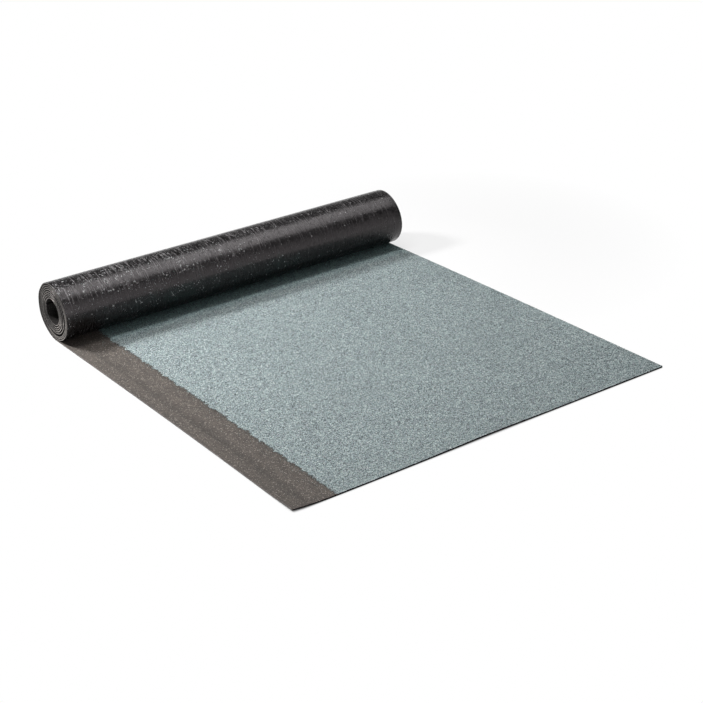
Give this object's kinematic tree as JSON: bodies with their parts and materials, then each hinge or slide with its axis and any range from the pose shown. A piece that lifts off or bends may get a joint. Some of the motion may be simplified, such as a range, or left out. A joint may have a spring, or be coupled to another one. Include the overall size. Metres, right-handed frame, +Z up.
{
  "type": "roll of roofing felt",
  "caption": "Partly unrolled roll of mineral-surfaced bitumen roofing felt, laid granules up with a bare lap strip along one edge, for waterproofing pitched and flat roofs.",
  "frame": {"origin": "middle of the footprint, on the floor", "axes": "+X across the sheet along the roll, towards the granule-covered edge; +Y from the cut end to the roll; +Z up"},
  "size_m": [1, 1.1372, 0.1501],
  "materials": {
    "felt": "blue-green slate granules on black bitumen, bare grey-brown along the selvedge"
  },
  "bodies": {
    "root": {"roofing_felt": "felt"}
  },
  "joints": []
}
